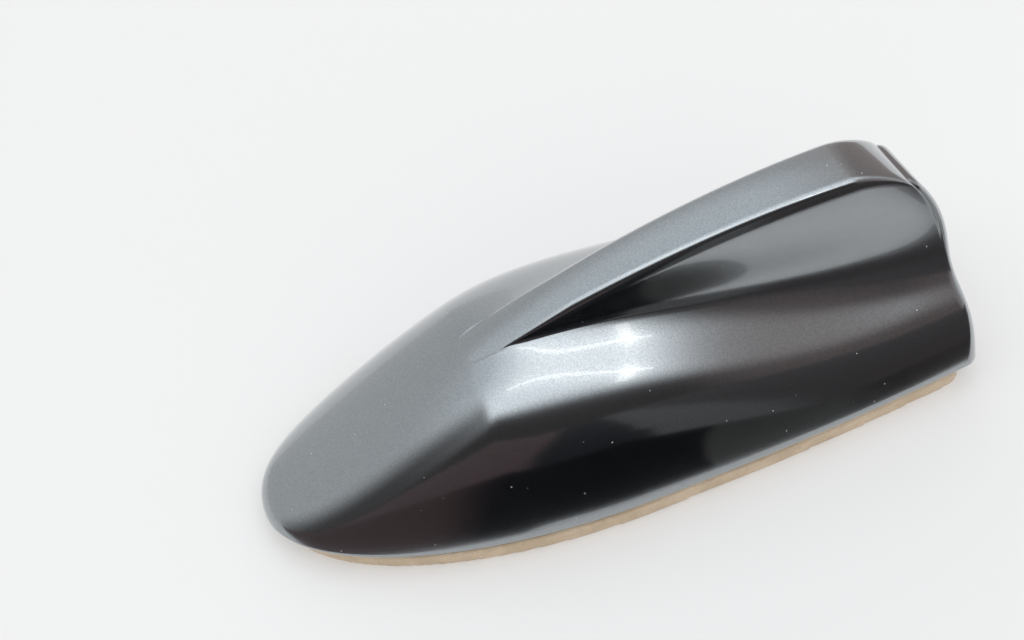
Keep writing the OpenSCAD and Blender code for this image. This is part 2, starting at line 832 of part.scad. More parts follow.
// A screw with its head at end z, shank towards the other end, and a hexagonal drive
module screw(spot, shank_r, head_r, head_low, head_high, shank_end, drive_r) difference() {
    union() {
        post(spot, shank_r, min(head_low, shank_end), max(head_high, shank_end));
        post(spot, head_r, head_low, head_high);
    }
    low = shank_end > head_high;
    translate([spot[0], spot[1], low ? head_low - cut : head_high - drive_depth])
        cylinder(r = drive_r, h = cut + drive_depth, $fn = 6);
}

module cover_screws() color([0.7, 0.7, 0.72]) from_nose()
    for (p = screw_spots) screw(
        p, screw_r, screw_head_r,
        counterbore_z - screw_head_h, counterbore_z, screw_top, screw_r - slip
    );

module main_board() color([0.09, 0.35, 0.18]) from_nose()
    difference() {
        intersection() {
            prism(outline(skirt_inner + board_gap, board_top - rim_z), board_z, board_top);
            block([board_front, -cover_w, board_z - cut], [board_end, cover_w, board_top + cut]);
        }
        for (p = screw_spots) post(p, boss_r + board_gap, board_z - cut, board_top + cut);
        for (p = board_spots) post(p, board_screw_r + slip, board_z - cut, board_top + cut);
        post([bolt_x, 0], neck_r + board_gap, board_z - cut, board_top + cut);
        post([feed_x, 0], pin_r + slip, board_z - cut, board_top + cut);
        for (x = tab_spots) block(
            [x - tab_l / 2 - slip, -board_t / 2 - slip, board_z - cut],
            [x + tab_l / 2 + slip, board_t / 2 + slip, board_top + cut]
        );
    }

module board_screws() color([0.7, 0.7, 0.72]) from_nose()
    for (p = board_spots) screw(
        p, board_screw_r, 2 * board_screw_r,
        board_top, board_top + board_head_h, board_top - board_screw_l, board_screw_r - 2 * slip
    );

// Square plate of side w about the patch's centre, with the feed pin's hole
module patch_layer(w, low, high) difference() {
    block([patch_x - w / 2, -w / 2, low], [patch_x + w / 2, w / 2, high]);
    post([feed_x, 0], pin_r + slip, low - cut, high + cut);
}

module patch_tape() color([0.85, 0.85, 0.8]) from_nose()
    patch_layer(patch_w - 2 * tape_in, board_top, tape_top);

module gps_patch() color([0.82, 0.76, 0.62]) from_nose()
    patch_layer(patch_w, tape_top, patch_top);

// Silver face of the patch, with two corners trimmed off to turn its field
module patch_electrode() color([0.8, 0.8, 0.82]) from_nose()
    difference() {
        patch_layer(electrode_w, patch_top, patch_top + electrode_t);
        for (k = [-electrode_w / 2, electrode_w / 2])
            translate([patch_x + k, k, patch_top - cut]) rotate(45)
                block([-trim_w / 2, -trim_w / 2, 0], [trim_w / 2, trim_w / 2, electrode_t + 2 * cut]);
    }

module feed_pin() color([0.85, 0.85, 0.86]) from_nose() {
    z = patch_top + electrode_t;
    union() {
        post([feed_x, 0], pin_r, board_z - pin_tail, z);
        translate([feed_x, 0, z]) rotate_extrude() intersection() {
            translate([0, -solder_sink]) circle(r = solder_r);
            square([solder_r, solder_r]);
        }
    }
}

module shield_can() color([0.78, 0.78, 0.78]) from_nose()
    translate([patch_x, 0, board_z]) difference() {
        block([-can_l / 2, -can_w / 2, -can_h], [can_l / 2, can_w / 2, 0]);
        block(
            [can_wall - can_l / 2, can_wall - can_w / 2, can_wall - can_h],
            [can_l / 2 - can_wall, can_w / 2 - can_wall, cut]
        );
    }

module amplifier_chip() color([0.06, 0.06, 0.06]) from_nose()
    block(
        [patch_x - chip_off - chip_w / 2, -chip_w / 2, board_z - chip_h],
        [patch_x - chip_off + chip_w / 2, chip_w / 2, board_z]
    );

// Two rows of small parts beside the neck
module board_parts() color([0.2, 0.17, 0.13]) from_nose()
    for (k = [0:parts_in_row - 1]) for (y = [-parts_y, parts_y])
        translate([bolt_x + (k - 1.5) * part_pitch, y, board_top])
            block([0, -part_w / 2, 0], [part_l, part_w / 2, part_h]);

module lead_socket() color([0.78, 0.66, 0.34]) from_nose()
    translate([cable_x + cable_to_socket, socket_y, board_z]) difference() {
        union() {
            block([-socket_w / 2, -socket_w / 2, -socket_h], [socket_w / 2, socket_w / 2, 0]);
            post([0, 0], barrel_r, -barrel_h, 0);
        }
        post([0, 0], barrel_r - barrel_wall, -barrel_h - cut, -socket_h);
    }

module fin_board() color([0.09, 0.35, 0.18]) from_nose() {
    d = cover_wall;
    top_line = [for (i = [0:stations])
        let (s = station(i), z = crest(s, d), x = skin_x(s, 0, z, d))
        if (x > fin_from && s < fin_crest_end) [x, z + rim_z - fin_gap]];
    line = concat(
        [[fin_from, board_top], [fin_from, top_line[0][1] - fin_corner]],
        top_line,
        [[fin_to, rim_z + floor_rear], [fin_to, board_top]]
    );
    union() {
        translate([0, board_t / 2, 0]) rotate([90, 0, 0]) linear_extrude(board_t) polygon(line);
        for (x = tab_spots) translate([x, 0, 0])
            block([-tab_l / 2, -board_t / 2, board_z - tab_proud], [tab_l / 2, board_t / 2, board_top]);
    }
}

// Meandering copper track on the fin board's side
module fin_antenna() color([0.75, 0.45, 0.25]) from_nose() {
    y = -board_t / 2;
    union() {
        for (k = [0:track_turns]) let (z = track_z + k * track_pitch)
            block([track_from, y - track_t, z], [track_to, y, z + track_w]);
        for (k = [0:track_turns - 1])
            let (x = k % 2 == 0 ? track_to - track_w : track_from, z = track_z + k * track_pitch)
            block([x, y - track_t, z], [x + track_w, y, z + track_pitch + track_w]);
        block([track_from, y - track_t, board_top], [track_from + track_w, y, track_z + track_w]);
    }
}

module fin_clips() color([0.8, 0.8, 0.82]) from_nose()
    for (x = tab_spots) translate([x, board_t / 2, board_top]) union() {
        block([-clip_w / 2, 0, 0], [clip_w / 2, clip_t, clip_h]);
        block([-clip_w / 2, 0, 0], [clip_w / 2, clip_foot, clip_t]);
    }

// Foam that stops the fin board from rattling, pressed between it and the cover
module fin_foam() color([0.2, 0.2, 0.2]) from_nose() {
    s = share_at(foam_x);
    z = rim_z + crest(s, cover_wall) - fin_gap - foam_drop;
    block([foam_x, board_t / 2, z - foam_h], [foam_x + foam_l, band_half(s, cover_wall) - slip, z]);
}

cover();
seal_pad();
base_plate();
cover_gasket();
mount_insert();
ground_strap();
cable_grommet();
vent_membrane();
cover_screws();
main_board();
board_screws();
patch_tape();
gps_patch();
patch_electrode();
feed_pin();
shield_can();
amplifier_chip();
board_parts();
lead_socket();
fin_board();
fin_antenna();
fin_clips();
fin_foam();
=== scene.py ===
import math

import bmesh
import bpy
import numpy as np
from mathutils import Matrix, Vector


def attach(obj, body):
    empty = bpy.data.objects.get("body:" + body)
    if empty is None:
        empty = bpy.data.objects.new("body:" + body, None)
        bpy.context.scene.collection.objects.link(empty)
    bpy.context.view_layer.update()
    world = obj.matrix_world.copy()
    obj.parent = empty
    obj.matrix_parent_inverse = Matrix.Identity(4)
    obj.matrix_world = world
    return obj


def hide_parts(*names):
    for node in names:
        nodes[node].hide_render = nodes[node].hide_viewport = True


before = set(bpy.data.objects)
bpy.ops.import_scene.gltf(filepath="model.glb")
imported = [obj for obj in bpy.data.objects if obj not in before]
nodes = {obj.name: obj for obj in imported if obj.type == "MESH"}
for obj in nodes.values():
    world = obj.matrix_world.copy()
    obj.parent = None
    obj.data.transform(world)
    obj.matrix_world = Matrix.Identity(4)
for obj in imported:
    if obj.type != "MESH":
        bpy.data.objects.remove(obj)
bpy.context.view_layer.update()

# Camera
# A phone held close over the near side of the antenna, looking down along it from its nose end.
# The place and the lens were worked out from the outline, the rim and the fin's edges.
MM = 0.001
AIM = Vector((-5.5, 0, 26.2)) * MM
TURN = math.radians(-18.505)
RAISE = math.radians(54.61)
ROLL = math.radians(-11.039)
REACH = 200.853 * MM
OFF_RIGHT = -17.426 * MM
OFF_UP = 5.194 * MM
LENS = 31.58
SENSOR = 36
CLIP_START = 5 * MM


def aimed_axes(forward, roll=0.0):
    """The right and up directions of a thing that points forward and is rolled about that line."""
    right = forward.cross(Vector((0, 0, 1))).normalized()
    up = right.cross(forward)
    rolled_right = right * math.cos(roll) + up * math.sin(roll)
    rolled_up = up * math.cos(roll) - right * math.sin(roll)
    return rolled_right, rolled_up


def place(thing, at, right, up):
    """Sets a camera or a lamp at a point, with its own X and Y along right and up."""
    back = right.cross(up)
    matrix = thing.matrix_world.copy()
    for row in range(3):
        matrix[row][0], matrix[row][1], matrix[row][2] = right[row], up[row], back[row]
        matrix[row][3] = at[row]
    thing.matrix_world = matrix


back = Vector((math.sin(TURN) * math.cos(RAISE), -math.cos(TURN) * math.cos(RAISE), math.sin(RAISE)))
eye = AIM + back * REACH
right, up = aimed_axes(-back)
forward = (AIM + right * OFF_RIGHT + up * OFF_UP - eye).normalized()
camera = bpy.data.objects.new("camera", bpy.data.cameras.new("camera"))
camera.data.sensor_width = SENSOR
camera.data.lens = LENS
camera.data.clip_start = CLIP_START
bpy.context.scene.collection.objects.link(camera)
place(camera, eye, *aimed_axes(forward, ROLL))
bpy.context.scene.camera = camera

# Base plate
# The moulded base that everything is built on: black glass-filled nylon with a fine spark texture.
# It is injection moulded in one piece with its skirt, neck, posts and screw seats.
MIX_A, MIX_B, MIX_RESULT = 6, 7, 2  # the colour sockets of a Mix node


def feed(tree, socket, value):
    """Links another node's output to a socket, or sets the socket's own value."""
    if isinstance(value, bpy.types.NodeSocket):
        tree.links.new(value, socket)
    elif socket.type == "RGBA":
        socket.default_value = (*value, 1)
    else:
        socket.default_value = value


def add(tree, kind, inputs=None, **settings):
    """A new node, with its settings and what goes into its sockets."""
    node = tree.nodes.new(kind)
    for key, value in settings.items():
        setattr(node, key, value)
    for label, value in (inputs or {}).items():
        feed(tree, node.inputs[label], value)
    return node


def own_place(tree):
    """Each point's place in the piece's own axes."""
    return add(tree, "ShaderNodeTexCoord").outputs["Object"]


def eased(tree, source, low, high):
    """A mask that rises smoothly from 0 at low to 1 at high, or falls where low is the larger."""
    rising = low < high
    levels = {
        "Value": source,
        "From Min": min(low, high),
        "From Max": max(low, high),
        "To Min": 0 if rising else 1,
        "To Max": 1 if rising else 0,
    }
    return add(tree, "ShaderNodeMapRange", levels, interpolation_type="SMOOTHSTEP").outputs["Result"]


def ranged(tree, mask, low, high):
    """A number that is low where the mask is 0 and high where it is 1."""
    return add(tree, "ShaderNodeMapRange", {"Value": mask, "To Min": low, "To Max": high}).outputs["Result"]


def tint(tree, mask, a, b):
    """Colour a where the mask is 0 and colour b where it is 1."""
    colours = {"Factor": mask, MIX_A: a, MIX_B: b}
    return add(tree, "ShaderNodeMix", colours, data_type="RGBA").outputs[MIX_RESULT]


def worked(tree, operation, *values):
    """The result of a Math node."""
    return add(tree, "ShaderNodeMath", dict(enumerate(values)), operation=operation).outputs["Value"]


def raised_by(tree, height, distance):
    """The normal of a surface that is raised by distance where height is 1."""
    return add(tree, "ShaderNodeBump", {"Height": height, "Distance": distance}).outputs["Normal"]


def new_group(name, inputs, outputs):
    """An empty node group, what it takes in and what it is given to put out."""
    tree = bpy.data.node_groups.new(name, "ShaderNodeTree")
    for direction, sockets in (("INPUT", inputs), ("OUTPUT", outputs)):
        for label, kind, *start in sockets:
            socket = tree.interface.new_socket(name=label, in_out=direction, socket_type="NodeSocket" + kind)
            if start:
                socket.default_value = start[0]
    return tree, add(tree, "NodeGroupInput").outputs, add(tree, "NodeGroupOutput").inputs


def placed(tree, group, **values):
    """What a node group puts out in this material, with its own values."""
    return add(tree, "ShaderNodeGroup", node_tree=group, inputs=values).outputs


def new_material(name):
    material = bpy.data.materials.new(name)
    material.use_nodes = True
    tree = material.node_tree
    return material, tree, tree.nodes["Principled BSDF"]


def dress(tree, shader, colour, roughness, normal):
    feed(tree, shader.inputs["Base Color"], colour)
    feed(tree, shader.inputs["Roughness"], roughness)
    feed(tree, shader.inputs["Normal"], normal)


# Clouds of two tones
mottle, taken, given = new_group(
    "mottled_colour",
    [("Scale", "Float", 100), ("Dark", "Color", (0.1, 0.1, 0.1, 1)), ("Light", "Color", (0.2, 0.2, 0.2, 1))],
    [("Colour", "Color"), ("Shade", "Float")],
)
CLOUD_DETAIL = 4
CLOUD_EDGES = (0.3, 0.7)
clouds = add(
    mottle, "ShaderNodeTexNoise",
    {"Vector": own_place(mottle), "Scale": taken["Scale"], "Detail": CLOUD_DETAIL},
)
shade = eased(mottle, clouds.outputs["Fac"], *CLOUD_EDGES)
feed(mottle, given["Colour"], tint(mottle, shade, taken["Dark"], taken["Light"]))
feed(mottle, given["Shade"], shade)

# The fine relief of a moulded, fired or plated surface
grain, taken, given = new_group(
    "fine_grain", [("Scale", "Float", 2000), ("Depth", "Float", 0.00005)], [("Normal", "Vector")],
)
GRAIN_DETAIL = 3
pits = add(
    grain, "ShaderNodeTexNoise",
    {"Vector": own_place(grain), "Scale": taken["Scale"], "Detail": GRAIN_DETAIL},
)
feed(grain, given["Normal"], raised_by(grain, pits.outputs["Fac"], taken["Depth"]))

# Edges that handling has rubbed
rub, taken, given = new_group(
    "rubbed_edges", [("Start", "Float", 0.52), ("Full", "Float", 0.6)], [("Mask", "Float")],
)
edge_mask = add(
    rub, "ShaderNodeMapRange",
    {
        "Value": add(rub, "ShaderNodeNewGeometry").outputs["Pointiness"],
        "From Min": taken["Start"],
        "From Max": taken["Full"],
    },
    interpolation_type="SMOOTHSTEP",
)
feed(rub, given["Mask"], edge_mask.outputs["Result"])


def finish(name, dark, light, patches, roughness, grain_size, depth, metallic=0, rubbed=None):
    """A mottled, finely grained finish. The grain's size and depth are in millimetres."""
    material, tree, shader = new_material(name)
    colours = placed(tree, mottle, Scale=patches, Dark=dark, Light=light)
    colour = colours["Colour"]
    if rubbed:
        colour = tint(tree, placed(tree, rub)["Mask"], colour, rubbed)
    normal = placed(tree, grain, Scale=1 / (grain_size * MM), Depth=depth * MM)["Normal"]
    dress(tree, shader, colour, ranged(tree, colours["Shade"], *roughness), normal)
    shader.inputs["Metallic"].default_value = metallic
    return material


def wear_on(material, *names):
    """Gives a material to parts that keep their CAD shape."""
    for name in names:
        nodes[name].material_slots[0].material = material


black_nylon = finish(
    "black_nylon", dark=(0.018, 0.018, 0.02), light=(0.034, 0.034, 0.037), patches=90,
    roughness=(0.5, 0.66), grain_size=0.35, depth=0.05, rubbed=(0.07, 0.07, 0.075),
)
wear_on(black_nylon, "base_plate")

# Gasket and cable gland
# Two black rubber mouldings: the thin ring between the flange and the cover, and the cable's gland.
# The cover's rim clamps the ring, and the gland's lips hold it in its hole in the base.
black_rubber = finish(
    "black_rubber", dark=(0.012, 0.012, 0.012), light=(0.024, 0.023, 0.022), patches=160,
    roughness=(0.62, 0.8), grain_size=0.2, depth=0.02, rubbed=(0.05, 0.05, 0.05),
)
wear_on(black_rubber, "cover_gasket", "cable_grommet")

# Vent film
# A disc of white expanded film that lets air through and keeps water out.
# It is welded over the vent hole of the base.
white_film = finish(
    "white_film", dark=(0.66, 0.66, 0.63), light=(0.82, 0.82, 0.8), patches=900,
    roughness=(0.7, 0.9), grain_size=0.12, depth=0.02,
)
wear_on(white_film, "vent_membrane")

# Mount insert and ground strap
# A turned brass nut, moulded into the neck, and the folded bronze spring that earths the board to it.
# The same bronze makes the clips that hold the upright board.
turned_brass = finish(
    "turned_brass", dark=(0.56, 0.38, 0.13), light=(0.78, 0.58, 0.26), patches=240,
    roughness=(0.22, 0.38), grain_size=0.15, depth=0.006, metallic=1, rubbed=(0.86, 0.7, 0.4),
)
wear_on(turned_brass, "mount_insert")
spring_bronze = finish(
    "spring_bronze", dark=(0.6, 0.43, 0.2), light=(0.76, 0.6, 0.36), patches=300,
    roughness=(0.24, 0.4), grain_size=0.4, depth=0.006, metallic=1, rubbed=(0.85, 0.75, 0.55),
)
wear_on(spring_bronze, "ground_strap", "fin_clips")

# Circuit boards
# Glass-epoxy boards under green solder mask, the main one screwed to posts and the other upright.
# The etched copper tracks stand up a little and show through the mask as paler green lines.
MASK_DARK = (0.012, 0.12, 0.045)
MASK_LIGHT = (0.02, 0.16, 0.06)
MASK_PATCHES = 180
MASK_ROUGHNESS = (0.25, 0.38)
TRACK_GREEN = (0.035, 0.25, 0.09)
TRACK_RISE = 0.035 * MM
TRACK_LAYOUT = {
    "Scale": 420,
    "Mortar Size": 0.045,
    "Mortar Smooth": 0.1,
    "Brick Width": 0.9,
    "Row Height": 0.42,
}
board_mask, tree, shader = new_material("green_solder_mask")
tracks = add(
    tree, "ShaderNodeTexBrick",
    {"Vector": own_place(tree), **TRACK_LAYOUT},
    offset=0.37, offset_frequency=3, squash=0.6, squash_frequency=2,
).outputs["Fac"]
mask_colours = placed(tree, mottle, Scale=MASK_PATCHES, Dark=MASK_DARK, Light=MASK_LIGHT)
dress(
    tree, shader,
    colour=tint(tree, tracks, mask_colours["Colour"], TRACK_GREEN),
    roughness=ranged(tree, mask_colours["Shade"], *MASK_ROUGHNESS),
    normal=raised_by(tree, tracks, TRACK_RISE),
)
wear_on(board_mask, "main_board", "fin_board")

# Patch antenna
# A fired ceramic tile on white foam tape, with a satin silver face that is printed on.
# A tinned pin goes down through it, and a tinned steel can covers the amplifier under the board.
fired_ceramic = finish(
    "fired_ceramic", dark=(0.52, 0.42, 0.27), light=(0.68, 0.58, 0.42), patches=420,
    roughness=(0.55, 0.75), grain_size=0.3, depth=0.02, rubbed=(0.75, 0.66, 0.52),
)
wear_on(fired_ceramic, "gps_patch")
white_tape = finish(
    "white_tape", dark=(0.66, 0.66, 0.58), light=(0.8, 0.8, 0.74), patches=700,
    roughness=(0.7, 0.85), grain_size=0.5, depth=0.03,
)
wear_on(white_tape, "patch_tape")
silver_print = finish(
    "silver_print", dark=(0.62, 0.62, 0.62), light=(0.82, 0.82, 0.83), patches=600,
    roughness=(0.3, 0.48), grain_size=0.18, depth=0.008, metallic=1,
)
wear_on(silver_print, "patch_electrode")
tinned_steel = finish(
    "tinned_steel", dark=(0.5, 0.5, 0.5), light=(0.72, 0.72, 0.71), patches=350,
    roughness=(0.22, 0.42), grain_size=0.6, depth=0.008, metallic=1, rubbed=(0.82, 0.82, 0.82),
)
wear_on(tinned_steel, "feed_pin", "shield_can")

# Parts on the board
# The amplifier in its moulded black package, small ceramic chips, and the cable's coaxial socket.
# All are soldered to the main board, and the socket is gold plated.
package_black = finish(
    "package_black", dark=(0.014, 0.014, 0.014), light=(0.028, 0.028, 0.028), patches=900,
    roughness=(0.5, 0.65), grain_size=0.1, depth=0.01,
)
wear_on(package_black, "amplifier_chip")
chip_brown = finish(
    "chip_brown", dark=(0.09, 0.06, 0.035), light=(0.2, 0.15, 0.1), patches=1300,
    roughness=(0.4, 0.6), grain_size=0.15, depth=0.01,
)
wear_on(chip_brown, "board_parts")
gold_plate = finish(
    "gold_plate", dark=(0.66, 0.47, 0.17), light=(0.84, 0.66, 0.3), patches=500,
    roughness=(0.18, 0.32), grain_size=0.2, depth=0.004, metallic=1,
)
wear_on(gold_plate, "lead_socket")

# Fin antenna
# The long meandering track on the upright board, which receives the radio.
# It is etched copper foil, a little browned by handling.
copper_foil = finish(
    "copper_foil", dark=(0.5, 0.22, 0.1), light=(0.74, 0.4, 0.23), patches=260,
    roughness=(0.25, 0.45), grain_size=0.3, depth=0.005, metallic=1,
)
wear_on(copper_foil, "fin_antenna")

# Screws
# Zinc-plated steel screws, nine in all, with a star recess in each head.
# Five go up through the base into the cover's bosses, and four hold the board.
zinc_plate = finish(
    "zinc_plate", dark=(0.48, 0.49, 0.5), light=(0.7, 0.7, 0.71), patches=800,
    roughness=(0.25, 0.42), grain_size=0.12, depth=0.006, metallic=1, rubbed=(0.8, 0.8, 0.8),
)
wear_on(zinc_plate, "cover_screws", "board_screws")

# Cover
# One injection-moulded plastic shell, sprayed with a metallic base coat and a clear coat.
# Its nose is a dome, the fin rises from its middle, and a scoop starts on each side of the fin.
# Screw bosses and the ribs that tie them to the wall are moulded into its bare black inner side.
COVER_L = 168
COVER_W = 66
COVER_H = 50.5
WALL = 2.4
NOSE_TO_BOLT = 88
RIM_Z = 6.2
RIM_R = 1.3
# Plan: the place of the greatest width, the nose's fullness and bluntness, and the loss at the tail
WIDE_AT = 0.5
NOSE_FULL = 1.94
NOSE_BLUNT = 2.1
TAIL_NARROW = 0.105
# Side view: the blunt lip at the nose, the crest's rise from it, and its rounded end
NOSE_LIP = 4
LIP_RUN = 0.03
LEAST_LIP = 0.2
CREST_PEAK = 0.938
CREST_RISE = 2.54
CREST_SWELL = 0.75
CREST_ROUND = 15
CREST_DROP = 6
# Dome: how far its wall leans in, its shoulder, and the stretch of it that turns into the band
WALL_LEAN = 0.21
DOME_SHOULDER = 0.68
DOME_FLAT = 0.58
DOME_BAND = 0.38
DOME_CUTS = (1.12, 1.02, 0.8)
# Scoops: where they start, the length over which they deepen, and how sharply
SCOOP_AT = 0.33
SCOOP_RUN = 0.6
SCOOP_EASE = 2
SCOOP_SOFT = 0.01
EDGE_HASTE = 8
# The band along the crest: its half width, its crown and its edges
BAND_FRONT = 2.6
BAND_REAR = 6.9
BAND_POWER = 0.32
BAND_CROWN = 0.95
BAND_EDGE_R = 1.8
CROWN_AT = (0.33, 0.66)
CROWN_FULL = 0.75
EDGE_SHARES = (0.4, 0.35)
# The scoop's floor line: its height, its distance from the band, and the slopes on both sides of it
FLOOR_FRONT = 26
FLOOR_REAR = 22.5
FLOOR_BULGE = 4.5
FLOOR_STEP = 1.1
FLOOR_SPREAD = 5.8
FLOOR_TILT = (26, 56)
FLANK_TILT = 7
SHOULDER_UP = 0.81
SHOULDER_IN = 0.6
FLOOR_CURL = 0.66
FLANK_CURL = 0.33
# Tail: its corners, and how it leans, rakes and bows
TAIL_R = 4.5
TAIL_EDGE_R = 1.4
CORNER_SHARE = 0.7
TAIL_LEAN = 2
TAIL_RAKE = 16.6
RAKE_POWER = 1.95
TAIL_BOW = 1.6
TAIL_STARTS = 0.55
# The least that is left of the band, its edge and the section where the cover runs out
LEAST_BAND = 0.6
LEAST_EDGE = 0.8
LEAST_RISE = 0.1
FOOT_SHARE = 0.3
SKIN_L = COVER_L - TAIL_R
# Fineness of the mesh: steps over the wall, flank, edge and crown, and stations along the cover
OUTER_STEPS = (40, 24, 10, 10)
INNER_STEPS = (16, 8, 4, 4)
STATIONS = 220
END_BIAS = 0.65
FIRST_STATION = 0.0001
DOME_SAMPLES = 801
RIM_ANGLES = np.arange(0, 90, 10)
CORNER_ANGLES = np.arange(7.5, 91, 7.5)
FACE_SHARES = np.arange(0.9, 0, -0.1)


def clip(share):
    return max(0, min(1, share))


def smooth(share):
    t = clip(share)
    return t * t * (3 - 2 * t)


def mix(a, b, t):
    return a * (1 - t) + b * t


def unit(degrees):
    angle = math.radians(degrees)
    return np.array([math.cos(angle), math.sin(angle)])


def rim_half(s, inset):
    """Half width of the rim, less an inset, at share s of the length."""
    nose = min(s / WIDE_AT, 1)
    tail = max(s - WIDE_AT, 0) / (1 - WIDE_AT)
    full = (1 - (1 - nose) ** NOSE_FULL) ** (1 / NOSE_BLUNT)
    return (COVER_W / 2 - inset) * full * (1 - TAIL_NARROW * tail * tail)


def crest(s, inset):
    """Height of the crest above the rim at share s of the length, for a skin at this inset."""
    lip = 1 - (1 - clip(s / LIP_RUN)) ** 2
    rise = 1 - (1 - clip(s / CREST_PEAK)) ** CREST_RISE
    end = clip((s - 1) * SKIN_L / CREST_ROUND + 1)
    drop = CREST_DROP * (1 - math.sqrt(1 - end * end))
    blunt = max(NOSE_LIP - inset, LEAST_LIP) * math.sqrt(lip)
    return blunt + (COVER_H - NOSE_LIP) * rise ** (1 / CREST_SWELL) - drop


def skin_x(s, y, z, inset):
    """How far from the nose a point of the skin lies, with the tail's lean, rake and bow."""
    lean = TAIL_LEAN * smooth(z / FLOOR_REAR)
    rake = TAIL_RAKE * clip((z - FLOOR_REAR) / (COVER_H - FLOOR_REAR)) ** RAKE_POWER
    bow = TAIL_BOW * (2 * y / COVER_W) ** 2
    share = clip((s - TAIL_STARTS) / (1 - TAIL_STARTS)) ** 2
    return inset + s * (SKIN_L - 2 * inset) - (lean + rake + bow) * share


def blossom(p, u, v, w):
    """The point of a cubic curve where u, v and w are one number, or else a control point."""
    a = p[:3] * (1 - u) + p[1:] * u
    b = a[:2] * (1 - v) + a[1:] * v
    return b[0] * (1 - w) + b[1] * w


def stretch(p, a, b):
    """Control points of the stretch of a cubic curve between a and b."""
    return np.array([blossom(p, a, a, a), blossom(p, a, a, b), blossom(p, a, b, b), blossom(p, b, b, b)])


def on_cubic(p, t):
    t = np.asarray(t)[:, None]
    return p[0] * (1 - t) ** 3 + 3 * p[1] * t * (1 - t) ** 2 + 3 * p[2] * t * t * (1 - t) + p[3] * t ** 3


def cover_section(s, inset, foot, steps):
    """Half of the cross-section at share s, from the rim's foot to the crest."""
    half = rim_half(s, inset)
    top = max(crest(s, inset), foot + LEAST_RISE)
    back_share = clip((s - SCOOP_AT) / (1 - SCOOP_AT))
    band = max(BAND_FRONT + (BAND_REAR - BAND_FRONT) * back_share ** BAND_POWER - inset, LEAST_BAND)
    lean_in = half * (1 - WALL_LEAN)

    # The dome is one curve, cut where the fin's four curves will meet
    dome_band = min(band, DOME_BAND * half)
    dome = np.array([
        [half, foot], [lean_in, max(DOME_SHOULDER * top, foot)], [DOME_FLAT * half, top], [0, top],
    ])
    spread = np.linspace(0, 1, DOME_SAMPLES)
    cuts = [float(np.interp(-c * dome_band, -on_cubic(dome, spread)[:, 0], spread)) for c in DOME_CUTS]

    # Where the scoop's floor line would lie, were the scoop at its full depth
    tilt = mix(*FLOOR_TILT, back_share)
    inward = unit(180 - tilt)
    upward = unit(90 + FLANK_TILT)
    edge_z = top - BAND_CROWN
    thin = inset * (1 - inward[1]) / -inward[0]
    floor_z = mix(FLOOR_FRONT, FLOOR_REAR, back_share) + FLOOR_BULGE * back_share * (1 - back_share) - thin
    floor_z = min(floor_z, edge_z - LEAST_EDGE)
    floor_y = band + mix(FLOOR_STEP, FLOOR_SPREAD, back_share)

    # How far the scoop has opened here, and the valley and edge that follow from it
    t = clip((s - SCOOP_AT) / SCOOP_RUN)
    opened = (math.hypot(t, SCOOP_SOFT) - SCOOP_SOFT) / (math.hypot(1, SCOOP_SOFT) - SCOOP_SOFT)
    depth = 1 - (1 - opened) ** SCOOP_EASE
    sharp = 1 - (1 - opened) ** (SCOOP_EASE * EDGE_HASTE)
    valley = mix(on_cubic(dome, [cuts[0]])[0], np.array([floor_y, floor_z]), depth)
    floor_y, floor_z = valley
    fall = max(edge_z - floor_z, 0)
    edge = np.array([band, edge_z])
    over = np.array([CROWN_AT[1] * band, edge_z + CROWN_FULL * BAND_CROWN])
    r = min(BAND_EDGE_R, EDGE_SHARES[0] * band, EDGE_SHARES[1] * fall)
    under_edge = edge - r * upward
    past_edge = edge + r * (over - edge) / np.linalg.norm(over - edge)

    # The fin's four curves, and the dome's share of each
    wall = [
        [half, foot],
        [lean_in, max(SHOULDER_UP * floor_z, foot)],
        valley - SHOULDER_IN * (half - floor_y) * inward,
        valley,
    ]
    flank = [
        valley,
        valley + FLOOR_CURL * (floor_y - band) * inward,
        under_edge - FLANK_CURL * fall * upward,
        under_edge,
    ]
    rounded_edge = [under_edge, mix(under_edge, edge, 2 / 3), mix(past_edge, edge, 2 / 3), past_edge]
    crown = [past_edge, over, [CROWN_AT[0] * band, top], [0, top]]
    ends = [0, *cuts, 1]
    line = []
    for i, fin_curve in enumerate((wall, flank, rounded_edge, crown)):
        curve = mix(stretch(dome, ends[i], ends[i + 1]), np.array(fin_curve), sharp)
        points = on_cubic(curve, np.linspace(0, 1, steps[i] + 1))
        line.append(points if i == 0 else points[1:])
    return np.concatenate(line)


def cover_columns(s, inset, rounded, steps):
    """The section's points as y, z and inset, with the rim's rounded lower edge before them."""
    foot = min(RIM_R, FOOT_SHARE * (crest(s, inset) + LEAST_RISE)) if rounded else 0
    rim = []
    for angle in RIM_ANGLES if rounded else []:
        cosine, sine = unit(angle)
        d = inset + RIM_R * (1 - sine)
        rim.append([rim_half(s, d), foot * (1 - cosine), d])
    line = cover_section(s, inset, foot, steps)
    return np.vstack([np.array(rim).reshape(-1, 3), np.column_stack([line, np.full(len(line), inset)])])


def corner_radius(j, first, steps):
    """The tail corner's radius at column j, which shrinks from the rim to the crest."""
    valley = first + steps[0]
    edge = valley + steps[1]
    if j <= valley:
        return mix(TAIL_R, CORNER_SHARE * TAIL_R, j / valley)
    if j <= edge:
        return mix(CORNER_SHARE * TAIL_R, TAIL_EDGE_R, (j - valley) / steps[1])
    return TAIL_EDGE_R


